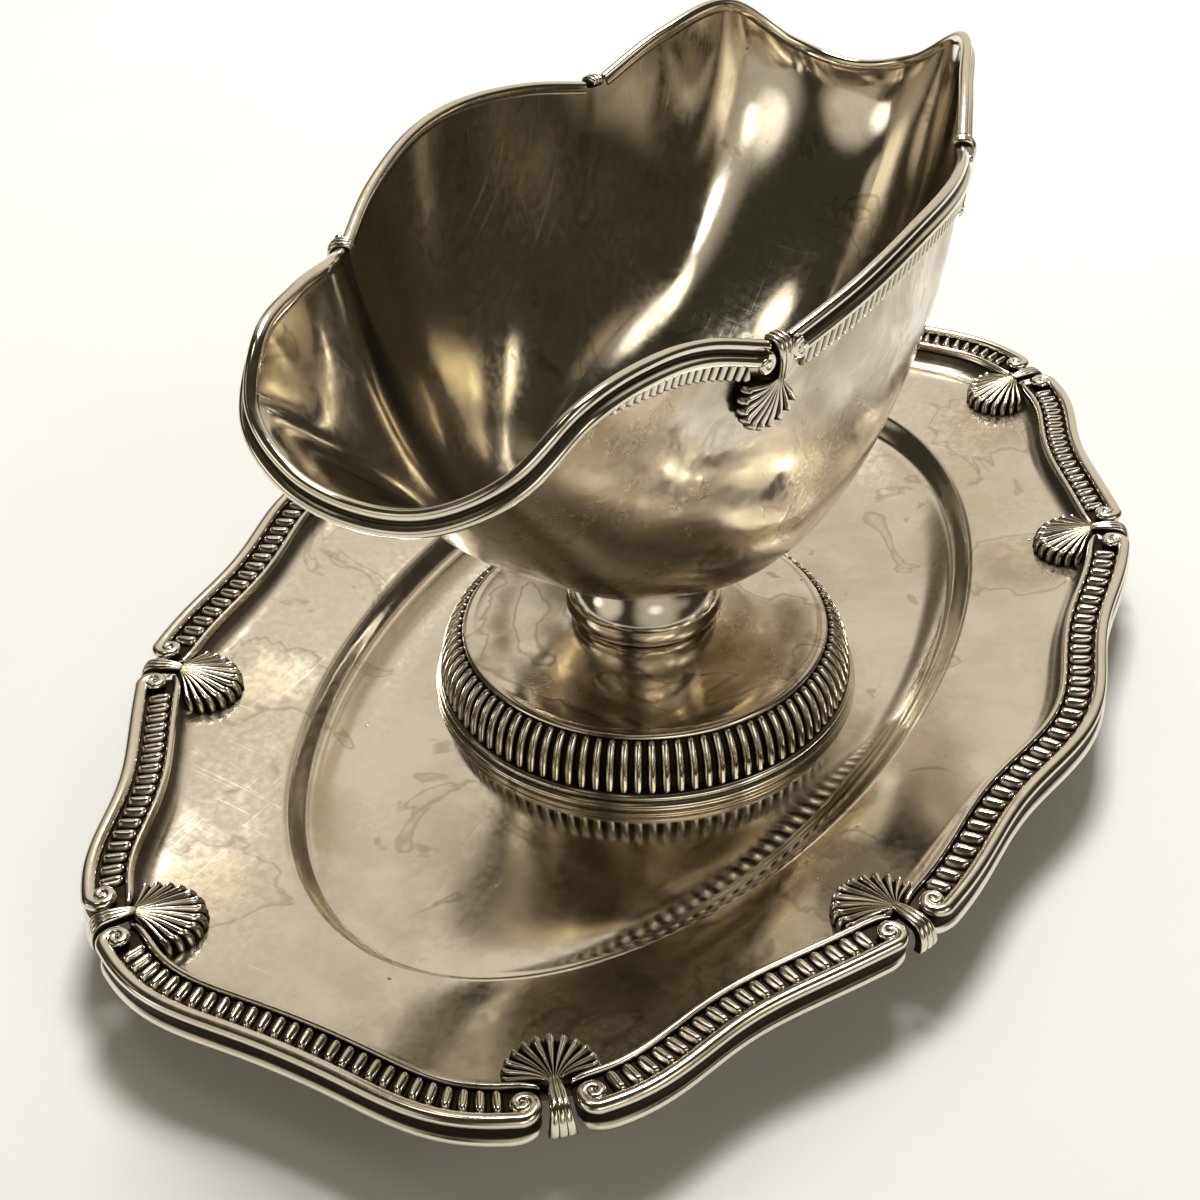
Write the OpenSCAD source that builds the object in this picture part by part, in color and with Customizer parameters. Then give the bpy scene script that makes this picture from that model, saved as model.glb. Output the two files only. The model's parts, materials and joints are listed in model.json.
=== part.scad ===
// Sauce boat on an oval lobed stand.
// Millimetres, +Z up, +X towards the pouring lip, +Y to the boat's left.
// The origin is the centre of the stand's underside, on the table.

/* [Stand outline] */
// Distance of the end shells from the short axis
end_shell_x = 120.5; // [110:0.5:130]
// Distance of the end shells from the long axis
end_shell_y = 42; // [36:0.5:46]
// Distance of the side shells from the short axis
side_shell_x = 63; // [56:0.5:68]
// Distance of the side shells from the long axis
side_shell_y = 77; // [72:0.5:82]
// Bulge and lobes of an end border, as the heights of one, three and five half waves
end_wave = [9.2, 0, 2.3, 0, 0.3]; // [0:0.1:12]
// Bulge and lobes of a side border
side_wave = [7.8, 0, -1.1, 0, 1]; // [-3:0.1:12]
// Bulge and lobes of a diagonal border, counted from its end shell
diagonal_wave = [0.2, 1.2, 0.9, 0.2, 0]; // [-3:0.1:12]

/* [Stand plate] */
// Thickness of the silver sheet
sheet = 1.2; // [0.8:0.1:1.6]
// Half length of the oval line round the well
well_x = 103; // [98:0.5:106]
// Half width of the oval line round the well
well_y = 59; // [57:0.5:62]
// Height of the oval line
well_line_z = 9; // [7:0.1:10]
// Half length of the flat floor of the well
floor_x = 70; // [60:1:80]
// Half width of the flat floor of the well
floor_y = 45.5; // [44.5:0.5:50]

/* [Stand border] */
// Height of the border's crown
crown_z = 18.4; // [17:0.1:20]
// Height of the border's lowest bead
bead_z = 12.4; // [11.5:0.1:13.5]
// Reach of the crown outside the gadroon line
crown_reach = 5.2; // [4.8:0.1:5.6]
// Gap from a shell's root to the end of a border length
border_gap = 2.6; // [2:0.1:3.4]

/* [Shells] */
// Radius of a shell on the stand
stand_shell_r = 12.4; // [10:0.1:15]
// Ribs of a shell on the stand
stand_shell_ribs = 12; // [8:1:14]
// Radius of a shell on the boat
boat_shell_r = 10; // [8:0.1:12]
// Ribs of a shell on the boat
boat_shell_ribs = 10; // [7:1:12]
// Half of a shell's spread
shell_spread = 68; // [50:1:75]
// Radius of the scroll on each side of a shell
scroll_r = 2.3; // [1.8:0.1:2.6]

/* [Boat] */
// How far forward of the stand's centre the foot stands
boat_x = 5.5; // [0:0.5:8]
// Thickness of the bowl's wall
wall = 1.2; // [1:0.1:1.6]
// Radius of the bowl's underside where it meets the neck
bowl_base_r = 18; // [16:0.5:20]
// Height of the bowl's underside over the well
bowl_base_z = 34; // [32:0.5:36]
// Share of each rim moulding left clear of a shell at its ends
rim_clear = 0.05; // [0.03:0.01:0.08]
// Share of the lip's half, from the spout's middle, at which its gadroon strip begins
lip_gadroon_start = 0.45; // [0.35:0.05:0.55]
// Lean of a boat shell, in degrees off the upright
shell_lean = -8; // [-15:1:0]
// Turn of a boat shell's fan towards the nearer end of the boat, in degrees
shell_turn = 30; // [0:1:40]

/* [Foot] */
// Radius of the foot's base ring
foot_r = 43.2; // [41:0.1:44]
// Radius of the foot at the top of its gadroon band
foot_top_r = 37.8; // [36:0.1:39]
// Height of the gadroon band's lower edge
gadroon_low_z = 3.6; // [3:0.1:4.2]
// Height of the gadroon band's upper edge
gadroon_high_z = 13.4; // [12.5:0.1:14.5]
// Radius of the knop under the bowl
knop_r = 16.2; // [15:0.1:17.4]

/* [Hidden] */

silver = "#b9b1a0";
dull_silver = "#a39a86";
round_steps = 96;
rest_gap = 0.05;
foot_z = sheet + rest_gap;

// ---- Small tools -------------------------------------------------------

function unit(v) = v / norm(v);
function flip_y(p) = [p.x, -p.y, p.z];
function flip_all(points) = [for (i = [len(points) - 1 : -1 : 0]) flip_y(points[i])];
function mix(a, b, t) = a * (1 - t) + b * t;
function lowered(points, drop) = [for (p = points) [p.x, p.y, p.z - drop]];
function total(v, i = 0) = i < len(v) ? v[i] + total(v, i + 1) : 0;

// A point of a smooth curve between b and c, with its neighbours a and d.
function curve_point(a, b, c, d, t) =
    0.5 * (2 * b + (c - a) * t + (2 * a - 5 * b + 4 * c - d) * t * t + (3 * b - a - 3 * c + d) * t * t * t);

// A smooth curve through points, with before and after as the points beyond its two ends.
function smooth_curve(points, before, after, steps) =
    let (all = concat([before], points, [after]))
    concat(
        [for (i = [1 : len(all) - 3], k = [0 : steps - 1])
            curve_point(all[i - 1], all[i], all[i + 1], all[i + 2], k / steps)],
        [points[len(points) - 1]]
    );

// A solid lofted through rings that all have the same number of points.
module loft(rings) {
    n = len(rings[0]);
    last = len(rings) - 1;
    sides = [for (r = [0 : last - 1], i = [0 : n - 1])
        let (j = (i + 1) % n, a = r * n + i, b = r * n + j, c = (r + 1) * n + j, d = (r + 1) * n + i)
        each [[a, b, c], [a, c, d]]];
    first_cap = [for (i = [n - 1 : -1 : 0]) i];
    last_cap = [for (i = [0 : n - 1]) last * n + i];
    polyhedron([for (ring = rings) each ring], concat(sides, [first_cap, last_cap]));
}

// ---- Stand outline -----------------------------------------------------

corners = [
    [end_shell_x, -end_shell_y], [end_shell_x, end_shell_y],
    [side_shell_x, side_shell_y], [-side_shell_x, side_shell_y],
    [-end_shell_x, end_shell_y], [-end_shell_x, -end_shell_y],
    [-side_shell_x, -side_shell_y], [side_shell_x, -side_shell_y]
];

// The same waves seen from the other end: the even ones change sign.
function backwards(wave) = [for (k = [0 : len(wave) - 1]) k % 2 == 0 ? wave[k] : -wave[k]];
waves = [
    end_wave, diagonal_wave, side_wave, backwards(diagonal_wave),
    end_wave, diagonal_wave, side_wave, backwards(diagonal_wave)
];

function bulge(wave, s) = total([for (k = [0 : len(wave) - 1]) wave[k] * sin(180 * (k + 1) * s)]);

// A point of the gadroon line of border length i, at share s of its chord.
function line_point(i, s) =
    let (a = corners[i], b = corners[(i + 1) % 8], along = unit(b - a))
    a + (b - a) * s + [along.y, -along.x] * bulge(waves[i], s);

// The same point moved outwards by out.
function edge_point(i, s, out) =
    let (step = 0.01, ahead = unit(line_point(i, s + step) - line_point(i, s - step)))
    line_point(i, s) + [ahead.y, -ahead.x] * out;

// The closed outline of the stand, moved outwards by out.
length_steps = 12;
function outline(out) =
    [for (i = [0 : 7], k = [0 : length_steps - 1])
        let (s = (k + 0.5) / length_steps) edge_point(i, s, out)];

// ---- Stand plate -------------------------------------------------------

// The point in the direction of p on the oval that lies at share t between the oval line and the floor.
function oval_point(p, t) =
    let (angle = atan2(p.y / well_y, p.x / well_x))
    [mix(well_x, floor_x, t) * cos(angle), mix(well_y, floor_y, t) * sin(angle)];

// Distances inside the gadroon line of the plate's edge, the foot of the border and the flange.
plate_edge_in = 1.8;
border_foot_in = 4.2;
flange_in = 6.5;
flange_line = outline(-flange_in);

// Rings of the plate's upper face, from the border in to the floor of the well.
function flange_ring(out, z) = [for (p = outline(out)) [p.x, p.y, z]];
function between_ring(t, z) =
    [for (p = flange_line) let (q = mix(p, oval_point(p, 0), t)) [q.x, q.y, z]];
function oval_ring(t, z) =
    [for (p = flange_line) let (q = oval_point(p, t)) [q.x, q.y, z]];

flange_z = well_line_z + 3.2;
border_foot_z = flange_z + 1.3;
plate_edge_z = flange_z + 3.2;
well_drop = well_line_z - sheet;
plate_top = concat(
    [flange_ring(-plate_edge_in, plate_edge_z), flange_ring(-border_foot_in, border_foot_z),
        flange_ring(-flange_in, flange_z)],
    [for (t = [0.3, 0.6, 0.85]) between_ring(t, mix(flange_z, well_line_z, t))],
    [for (t = [0, 0.15, 0.32, 0.52, 0.75, 1]) oval_ring(t, sheet + well_drop * pow(1 - t, 2))]
);

module stand_plate() {
    upper = [for (i = [len(plate_top) - 1 : -1 : 0]) plate_top[i]];
    underside = [for (ring = plate_top) lowered(ring, sheet)];
    color(silver) loft(concat(upper, underside));
}

// ---- Stand border ------------------------------------------------------

// Section of the border: [distance outside the gadroon line, height over the lowest bead].
border_section = [
    [crown_reach, 0], [crown_reach + 0.2, 1.1], [crown_reach - 0.8, 2.1], [crown_reach - 0.2, 4.2],
    [4.1, 5.8], [3, 6], [2.2, 4.9], [-2.2, 4.7], [-3, 5.1], [-3.6, 4.4], [-3, 3.2], [3, 0]
];
section_height = 6;
border_scale = (crown_z - bead_z) / section_height;
end_round = 5;
end_width = 0.45;

module border(i) {
    chord = norm(corners[(i + 1) % 8] - corners[i]);
    first = border_gap / chord;
    count = max(14, round(chord / 5));
    rings = [for (k = [0 : count])
        let (
            s = mix(first, 1 - first, k / count),
            from_end = max(0, min(s, 1 - s) * chord - border_gap),
            narrow = from_end < end_round ? sqrt(1 - pow(1 - from_end / end_round, 2)) : 1,
            scale_out = mix(end_width, 1, narrow)
        )
        [for (q = border_section)
            let (p = edge_point(i, s, q[0] * scale_out)) [p.x, p.y, bead_z + q[1] * border_scale]]];
    color(dull_silver) loft(rings);
}

// ---- Shells ------------------------------------------------------------

// A ribbed fan in the plane z = 0, its root at the origin, opening along -Y. Its ribs run from apex inside
// the root to a scalloped edge drop below it, a little less at its two sides, where the fan is shorter.
// Two scrolls stand beside the root. The fan is turned about its apex.
module shell(radius, ribs, drop, back, apex, turn = 0) {
    count = 2 * ribs;
    thick = 1.6;
    side_lift = 0.3;
    side_taper = 0.32;
    edge = [for (k = [0 : count])
        let (
            off_middle = abs(2 * k / count - 1),
            angle = turn - 90 - shell_spread + 2 * shell_spread * k / count,
            reach = radius * (k % 2 == 1 ? 1 : 0.93) * (1 - side_taper * pow(off_middle, 1.6)),
            ridge = k % 2 == 1 ? 0.7 : 0
        )
        [cos(angle) * reach, sin(angle) * reach - apex, ridge - drop * (1 - side_lift * pow(off_middle, 2))]];
    root_w = 1.6;
    root = [for (k = [0 : count]) let (t = k / count)
        [mix(-root_w, root_w, t), back - 0.6 * sin(180 * t), 0.4 + 0.7 * sin(180 * t)]];
    edge_under = lowered(edge, thick);
    root_under = lowered(root, thick);
    loft([for (k = [0 : count]) [edge[k], root[k], root_under[k], edge_under[k]]]);
    scroll_x = scroll_r + root_w + 1.2;
    for (side = [-1, 1]) translate([side * scroll_x, 0.6, -thick])
        cylinder(r = scroll_r, h = thick + 1.4, $fn = 32);
    translate([-scroll_x, -0.2, 0.2 - thick]) cube([2 * scroll_x, 1.4, thick - 0.2]);
}

// A shell on the stand at corner i, facing the centre.
module stand_shell(i) {
    reach = 0.15;
    along = unit(line_point(i, reach) - line_point((i + 7) % 8, 1 - reach));
    color(dull_silver)
        translate([corners[i].x, corners[i].y, crown_z - 1.5])
        rotate([0, 0, atan2(along.y, along.x) + 180])
        shell(stand_shell_r, stand_shell_ribs, 4.4, 2.6, 2.7);
}

// ---- Rim of the boat ---------------------------------------------------

// Points along the left half of the rim, over the well: round the lip, along the side between
// the two notches, and round the back from notch to peak to the dip in the middle.
lip_points = [
    [90, 0, 94.5], [89, 12, 96.5], [84, 22, 102], [73.5, 27, 108.5],
    [60, 30, 109], [46, 33.5, 106.5], [33, 40.3, 101.5]
];
side_points = [
    [33, 40.3, 101.5], [15, 46, 105], [-4, 49, 107.5], [-22, 49, 107],
    [-41, 45.5, 104], [-59, 40, 99]
];
back_points = [
    [-59, 40, 99], [-78.5, 33.5, 105], [-97.5, 26.5, 106.5], [-105, 14, 97.5], [-106.5, 0, 94]
];
front_notch = side_points[0];
back_notch = side_points[5];

rim_steps = 3;
lip_left = smooth_curve(lip_points, flip_y(lip_points[1]), 2 * lip_points[6] - lip_points[5], rim_steps);
side_left = smooth_curve(side_points, 2 * side_points[0] - side_points[1],
    2 * side_points[5] - side_points[4], rim_steps);
back_left = smooth_curve(back_points, 2 * back_points[0] - back_points[1], flip_y(back_points[3]), rim_steps);

function open_end(points) = [for (i = [0 : len(points) - 2]) points[i]];
left_rim_line = concat(open_end(lip_left), open_end(side_left), back_left);
rim_line_all = concat(left_rim_line,
    [for (i = [len(left_rim_line) - 2 : -1 : 1]) flip_y(left_rim_line[i])]);

// ---- Bowl --------------------------------------------------------------

rim_half_length = 98;
rim_half_width = 49;
rim_middle_x = -8;

// Reach and height of the two inner control points of a wall curve, at the lip, side and back:
// [upper reach, upper fall, lower reach, lower rise], as shares of the span from base to rim.
lip_wall = [0.71, 0.18, 0.36, 0.18];
side_wall = [1, 0.37, 0.8, 0];
back_wall = [1, 0.35, 0.6, 0.05];

function rim_angle(p) = atan2(p.y / rim_half_width, (p.x - rim_middle_x) / rim_half_length);
function wall_shape(angle) =
    let (c = cos(angle), at_lip = c > 0 ? c * c : 0, at_back = c < 0 ? c * c : 0)
    lip_wall * at_lip + back_wall * at_back + side_wall * (1 - at_lip - at_back);

// A point of the wall under rim point p, with t from 0 at the rim to 1 at the base.
function wall_point(p, t, base_r, base_z) =
    let (
        angle = rim_angle(p),
        k = wall_shape(angle),
        base = [base_r * cos(angle), base_r * sin(angle), base_z],
        span = p - base,
        upper = [base.x + span.x * k[0], base.y + span.y * k[0], p.z - span.z * k[1]],
        lower = [base.x + span.x * k[2], base.y + span.y * k[2], base.z + span.z * k[3]],
        u = 1 - t
    )
    u * u * u * p + 3 * u * u * t * upper + 3 * u * t * t * lower + t * t * t * base;

// A rim point moved in by the wall's thickness.
function inward(p) =
    let (d = unit([p.x - rim_middle_x, p.y]) * wall) [p.x - d.x, p.y - d.y, p.z];

// Puts a part of the boat where the boat stands.
module on_boat() {
    translate([boat_x, 0, foot_z]) children();
}

wall_steps = 12;
module bowl() {
    inner = [for (k = [wall_steps : -1 : 0])
        [for (p = rim_line_all)
            wall_point(inward(p), k / wall_steps, bowl_base_r - wall, bowl_base_z + wall)]];
    outer = [for (k = [0 : wall_steps])
        [for (p = rim_line_all) wall_point(p, k / wall_steps, bowl_base_r, bowl_base_z)]];
    color(silver) on_boat() loft(concat(inner, outer));
}

// ---- Rim mouldings and gadroons ----------------------------------------

// Section of the rim moulding: [outwards, up], from the rim's edge. Two fillets with a groove between.
moulding_section = [
    [-1.3, -0.6], [-1.2, 0.5], [-0.4, 1], [0.5, 0.7], [1, -0.2], [0.9, -1], [1.6, -1.5],
    [1.9, -2.3], [1.4, -3.2], [-0.2, -3.2]
];
gadroon_section = [[1.2, -3.2], [1.4, -5], [0.9, -6.8], [-0.8, -6.6], [-0.2, -3.2]];

// The outward direction across the rim at point i of a line.
function across(line, i) =
    let (
        a = line[max(i - 1, 0)],
        b = line[min(i + 1, len(line) - 1)],
        along = unit([b.x - a.x, b.y - a.y])
    )
    [along.y, -along.x, 0];

// A section swept along a line, upright at every point.
module sweep(line, section) {
    loft([for (i = [len(line) - 1 : -1 : 0])
        let (out = across(line, i))
        [for (q = section) line[i] + out * q[0] + [0, 0, q[1]]]]);
}

// The part of a line from share a to share b of its points.
function part_of(line, a, b) =
    let (n = len(line) - 1) [for (i = [round(n * a) : round(n * b)]) line[i]];

lip_line = concat(flip_all(lip_left), [for (i = [1 : len(lip_left) - 1]) lip_left[i]]);
back_line = concat(back_left, [for (i = [len(back_left) - 2 : -1 : 0]) flip_y(back_left[i])]);

module rim_moulding(line) { color(silver) on_boat() sweep(line, moulding_section); }
module rim_gadroon(line, lean) {
    color(dull_silver) on_boat() sweep(line, [for (q = gadroon_section) [q[0] + lean * q[1], q[1]]]);
}

// The part of a line left when share is taken off both ends.
function clear_of(line, share) = part_of(line, share, 1 - share);
lip_gadroon_line = part_of(lip_left, lip_gadroon_start, 1 - 3 * rim_clear);
side_gadroon_line = clear_of(side_left, 2 * rim_clear);
// Inward lean of a gadroon strip per millimetre of depth, at the lip and elsewhere.
lip_lean = 0.4;
upright = 0;

// ---- Boat shells -------------------------------------------------------

// A shell under a notch, hanging down the wall.
module boat_shell(notch) {
    shell_down = 2.2;
    shell_out = 2.1;
    bowl_turn = 160;
    facing = atan2(sign(notch.y), notch.x / bowl_turn);
    other_hand = sign(notch.x) * sign(notch.y) < 0;
    color(dull_silver) on_boat()
        translate([notch.x, notch.y, notch.z - shell_down])
        rotate([0, 0, facing - 90])
        translate([0, shell_out, 0])
        rotate([90 + shell_lean, 0, 0])
        mirror([other_hand ? 1 : 0, 0, 0])
        mirror([0, 0, 1])
        shell(boat_shell_r, boat_shell_ribs, 0.8, 1.4, 3, shell_turn);
}

// ---- Neck and foot -----------------------------------------------------

module turned(points) {
    on_boat() rotate_extrude($fn = round_steps) polygon(points);
}

dome_edge_z = gadroon_high_z + 0.4;
dome_top_z = 16.6;
collar_z = bowl_base_z - 1.6;
foot_wall = 4;

module neck_collar() {
    color(silver) turned([[0, collar_z], [knop_r - 1.4, collar_z], [knop_r - 0.9, collar_z + 0.8],
        [knop_r - 1.2, bowl_base_z], [0, bowl_base_z]]);
}

module neck_knop() {
    middle_z = (dome_top_z + collar_z) / 2;
    color(silver) turned([[0, dome_top_z], [knop_r - 3.4, dome_top_z], [knop_r - 1.2, dome_top_z + 2.4],
        [knop_r, middle_z - 3], [knop_r - 0.2, middle_z - 0.4], [knop_r - 1.6, collar_z - 4],
        [knop_r - 3, collar_z], [0, collar_z]]);
}

module foot_dome() {
    color(silver) turned([
        [0, dome_top_z - 1.6], [14, dome_top_z - 1.6], [foot_top_r - 4, dome_edge_z - 1.6],
        [foot_top_r - 1.2, gadroon_high_z - 1.2], [foot_top_r - 0.6, dome_edge_z - 0.6],
        [foot_top_r - 2, dome_edge_z], [28, dome_edge_z + 1.1], [knop_r - 2, dome_top_z], [0, dome_top_z]
    ]);
}

module foot_gadroon() {
    color(dull_silver) turned([
        [foot_r - foot_wall, gadroon_low_z], [foot_r - 1, gadroon_low_z], [foot_r - 1.6, 7.5],
        [foot_r - 3, 10.8], [foot_top_r, gadroon_high_z], [foot_top_r - 1.2, gadroon_high_z - 1.2],
        [foot_top_r - 2.2, gadroon_high_z - 1.6]
    ]);
}

module foot_ring() {
    color(silver) turned([
        [foot_r - foot_wall, 0], [foot_r, 0], [foot_r + 0.3, 0.9], [foot_r - 0.2, 1.8], [foot_r - 0.6, 2.2],
        [foot_r - 0.3, 2.9], [foot_r - 0.9, gadroon_low_z], [foot_r - foot_wall, gadroon_low_z]
    ]);
}

// ---- Assembly ----------------------------------------------------------

stand_plate();
border(0);  // border_front
border(1);  // border_front_left
border(2);  // border_left
border(3);  // border_back_left
border(4);  // border_back
border(5);  // border_back_right
border(6);  // border_right
border(7);  // border_front_right
stand_shell(1);  // stand_shell_front_left
stand_shell(2);  // stand_shell_left_front
stand_shell(3);  // stand_shell_left_back
stand_shell(4);  // stand_shell_back_left
stand_shell(5);  // stand_shell_back_right
stand_shell(6);  // stand_shell_right_back
stand_shell(7);  // stand_shell_right_front
stand_shell(0);  // stand_shell_front_right
bowl();
rim_moulding(clear_of(lip_line, rim_clear / 2));  // lip_rim
rim_moulding(clear_of(side_left, rim_clear));  // left_rim
rim_moulding(clear_of(flip_all(side_left), rim_clear));  // right_rim
rim_moulding(clear_of(back_line, rim_clear));  // back_rim
rim_gadroon(lip_gadroon_line, lip_lean);  // lip_gadroon_left
rim_gadroon(flip_all(lip_gadroon_line), lip_lean);  // lip_gadroon_right
rim_gadroon(side_gadroon_line, upright);  // left_gadroon
rim_gadroon(flip_all(side_gadroon_line), upright);  // right_gadroon
rim_gadroon(clear_of(back_line, 2 * rim_clear), upright);  // back_gadroon
boat_shell(front_notch);  // boat_shell_front_left
boat_shell(flip_y(front_notch));  // boat_shell_front_right
boat_shell(back_notch);  // boat_shell_back_left
boat_shell(flip_y(back_notch));  // boat_shell_back_right
neck_collar();
neck_knop();
foot_dome();
foot_gadroon();
foot_ring();
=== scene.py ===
import json
import math

import bpy
import numpy as np
from mathutils import Matrix, Vector


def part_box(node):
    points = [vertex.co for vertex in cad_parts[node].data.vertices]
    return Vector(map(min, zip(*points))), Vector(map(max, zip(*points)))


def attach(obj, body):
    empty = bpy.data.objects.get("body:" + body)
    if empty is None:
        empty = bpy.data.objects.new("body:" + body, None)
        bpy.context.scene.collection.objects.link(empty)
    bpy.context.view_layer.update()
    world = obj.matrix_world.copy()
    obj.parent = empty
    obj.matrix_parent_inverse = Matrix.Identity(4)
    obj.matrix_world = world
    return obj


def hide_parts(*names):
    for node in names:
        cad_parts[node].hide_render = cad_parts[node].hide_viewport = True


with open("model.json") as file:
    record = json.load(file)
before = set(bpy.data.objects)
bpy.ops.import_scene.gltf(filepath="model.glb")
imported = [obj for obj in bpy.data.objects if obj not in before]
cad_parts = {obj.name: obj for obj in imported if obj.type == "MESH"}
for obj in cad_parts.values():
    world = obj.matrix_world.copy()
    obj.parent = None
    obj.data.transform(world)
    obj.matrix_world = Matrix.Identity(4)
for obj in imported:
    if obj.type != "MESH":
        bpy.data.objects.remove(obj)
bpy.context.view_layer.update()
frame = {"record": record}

MM = 0.001
UP = np.array([0.0, 0.0, 1.0])


def corner_mm(node, which):
    """The lowest (0) or highest (1) corner of a CAD node, in millimetres."""
    return np.array(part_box(node)[which]) / MM


# ---- Small tools ---------------------------------------------------------


def unit(v):
    return v / np.maximum(np.linalg.norm(v, axis=-1, keepdims=True), 1e-9)


def mix(a, b, t):
    return a * (1 - t) + b * t


def smooth(t):
    t = np.clip(t, 0.0, 1.0)
    return t * t * (3 - 2 * t)


def bump(x, middle, width):
    return np.exp(-(((x - middle) / width) ** 2))


def resample(points, count):
    """Points at equal steps along a polyline."""
    run = np.concatenate([[0], np.cumsum(np.linalg.norm(np.diff(points, axis=0), axis=1))])
    at = np.linspace(0, run[-1], count)
    return np.stack([np.interp(at, run, points[:, k]) for k in range(points.shape[1])], axis=-1)


def rounded(t, power=0.5):
    """Height of a rounded ridge at t from -1 to 1 across it."""
    return np.maximum(0.0, 1 - t * t) ** power


def capsule(across, along, end):
    """Height of a ridge with round ends. across and along run from -1 to 1; end is the rounded share."""
    past = np.maximum(0.0, (np.abs(along) - (1 - end)) / end)
    return np.sqrt(np.maximum(0.0, 1 - across * across - past * past))


def between(ridge):
    """How deep in a recess a point lies, from the height of the ridge there."""
    return np.clip(1.25 * (1 - ridge) ** 1.1, 0, 1)


SHARP_ANGLE = math.radians(55.0)


class Skin:
    """Closed grids of points gathered into one mesh.

    Each point also carries how deep it lies in a recess, a value that in some places sets painted shade, and
    how stained it is.
    """

    def __init__(self):
        self.points, self.depth, self.stain, self.quads, self.caps = [], [], [], [], []
        self.count = 0

    def grid(self, points, depth=0.0, wrap_rows=False, wrap_cols=False, cap_rows=False, stain=0.0):
        rows, cols, _ = points.shape
        index = np.arange(rows * cols).reshape(rows, cols)
        full = np.vstack([index, index[:1]]) if wrap_rows else index
        full = np.hstack([full, full[:, :1]]) if wrap_cols else full
        quads = np.stack([full[:-1, :-1], full[:-1, 1:], full[1:, 1:], full[1:, :-1]], axis=-1)
        quads = quads.reshape(-1, 4)
        caps = [index[0][::-1], index[-1]] if cap_rows else []
        flat = points.reshape(-1, 3)
        volume = 0.0
        for a, b, c in ((0, 1, 2), (0, 2, 3)):
            p, q, r = (flat[quads[:, k]] for k in (a, b, c))
            volume += np.einsum("ij,ij->i", p, np.cross(q, r)).sum()
        for cap in caps:
            p, q, r = flat[cap[0]], flat[cap[1:-1]], flat[cap[2:]]
            volume += (np.cross(q, r) @ p).sum()
        if volume < 0:
            quads, caps = quads[:, ::-1], [cap[::-1] for cap in caps]
        self.quads.append(quads + self.count)
        self.caps += [cap + self.count for cap in caps]
        self.points.append(flat)
        self.depth.append(np.broadcast_to(depth, (rows, cols)).ravel())
        self.stain.append(np.broadcast_to(stain, (rows, cols)).ravel())
        self.count += rows * cols

    def tube(self, path, out, radius, height, sides):
        """A tube along a path. out is the sideways direction at each point, height its upright stretch."""
        along = unit(np.gradient(path, axis=0))
        up = unit(np.cross(along, out))
        side = np.cross(up, along)
        angle = np.linspace(0, 2 * math.pi, sides, endpoint=False)
        radius = np.broadcast_to(radius, len(path))[:, None, None]
        ring = (
            np.cos(angle)[None, :, None] * side[:, None, :]
            + height * np.sin(angle)[None, :, None] * up[:, None, :]
        )
        self.grid(path[:, None, :] + radius * ring, wrap_cols=True, cap_rows=True)

    def build(self, name):
        points = np.concatenate(self.points) * MM
        quads = np.concatenate(self.quads)
        sizes = np.array([4] * len(quads) + [len(c) for c in self.caps])
        loops = np.concatenate([quads.ravel()] + list(self.caps)).astype(np.int32)
        starts = np.concatenate([[0], np.cumsum(sizes)[:-1]]).astype(np.int32)
        mesh = bpy.data.meshes.new(name)
        mesh.vertices.add(len(points))
        mesh.vertices.foreach_set("co", points.ravel())
        mesh.loops.add(len(loops))
        mesh.loops.foreach_set("vertex_index", loops)
        mesh.polygons.add(len(sizes))
        mesh.polygons.foreach_set("loop_start", starts)
        mesh.update(calc_edges=True)
        mesh.validate()
        for label, values in (("recess", self.depth), ("stain", self.stain)):
            attribute = mesh.attributes.new(label, "FLOAT", "POINT")
            attribute.data.foreach_set("value", np.clip(np.concatenate(values), 0, 1))
        mesh.shade_smooth()
        mesh.set_sharp_from_angle(angle=SHARP_ANGLE)
        obj = bpy.data.objects.new(name, mesh)
        bpy.context.scene.collection.objects.link(obj)
        return obj


# ---- Materials -----------------------------------------------------------


class Nodes:
    """A short way to write a node tree."""

    def __init__(self, tree):
        self.tree = tree
        tree.nodes.clear()

    def add(self, kind, inputs=None, **settings):
        node = self.tree.nodes.new(kind)
        for key, value in settings.items():
            setattr(node, key, value)
        for key, value in (inputs or {}).items():
            if isinstance(value, bpy.types.NodeSocket):
                self.tree.links.new(value, node.inputs[key])
            else:
                node.inputs[key].default_value = value
        return node

    def math(self, operation, a, b=0.0, clamp=False):
        return self.add("ShaderNodeMath", {0: a, 1: b}, operation=operation, use_clamp=clamp).outputs[0]

    def blend(self, share, a, b):
        node = self.add("ShaderNodeMix", data_type="RGBA")
        for key, value in ((0, share), (6, a), (7, b)):
            if isinstance(value, bpy.types.NodeSocket):
                self.tree.links.new(value, node.inputs[key])
            else:
                node.inputs[key].default_value = value
        return node.outputs[2]

    def noise(self, where, scale, detail=4.0, rough=0.55, twist=0.0):
        return self.add(
            "ShaderNodeTexNoise",
            {"Vector": where, "Scale": scale, "Detail": detail, "Roughness": rough, "Distortion": twist},
        ).outputs["Fac"]

    def step(self, value, low, high, out_low=0.0, out_high=1.0):
        return self.add(
            "ShaderNodeMapRange",
            {"Value": value, "From Min": low, "From Max": high, "To Min": out_low, "To Max": out_high},
            interpolation_type="SMOOTHSTEP",
        ).outputs[0]


CLEAN = (0.86, 0.81, 0.71, 1)
HAZE = (0.66, 0.60, 0.48, 1)
STAIN = (0.34, 0.28, 0.18, 1)
PATINA_AND_SHADE = (0.030, 0.022, 0.014, 1)
PIT = (0.10, 0.07, 0.045, 1)


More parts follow.
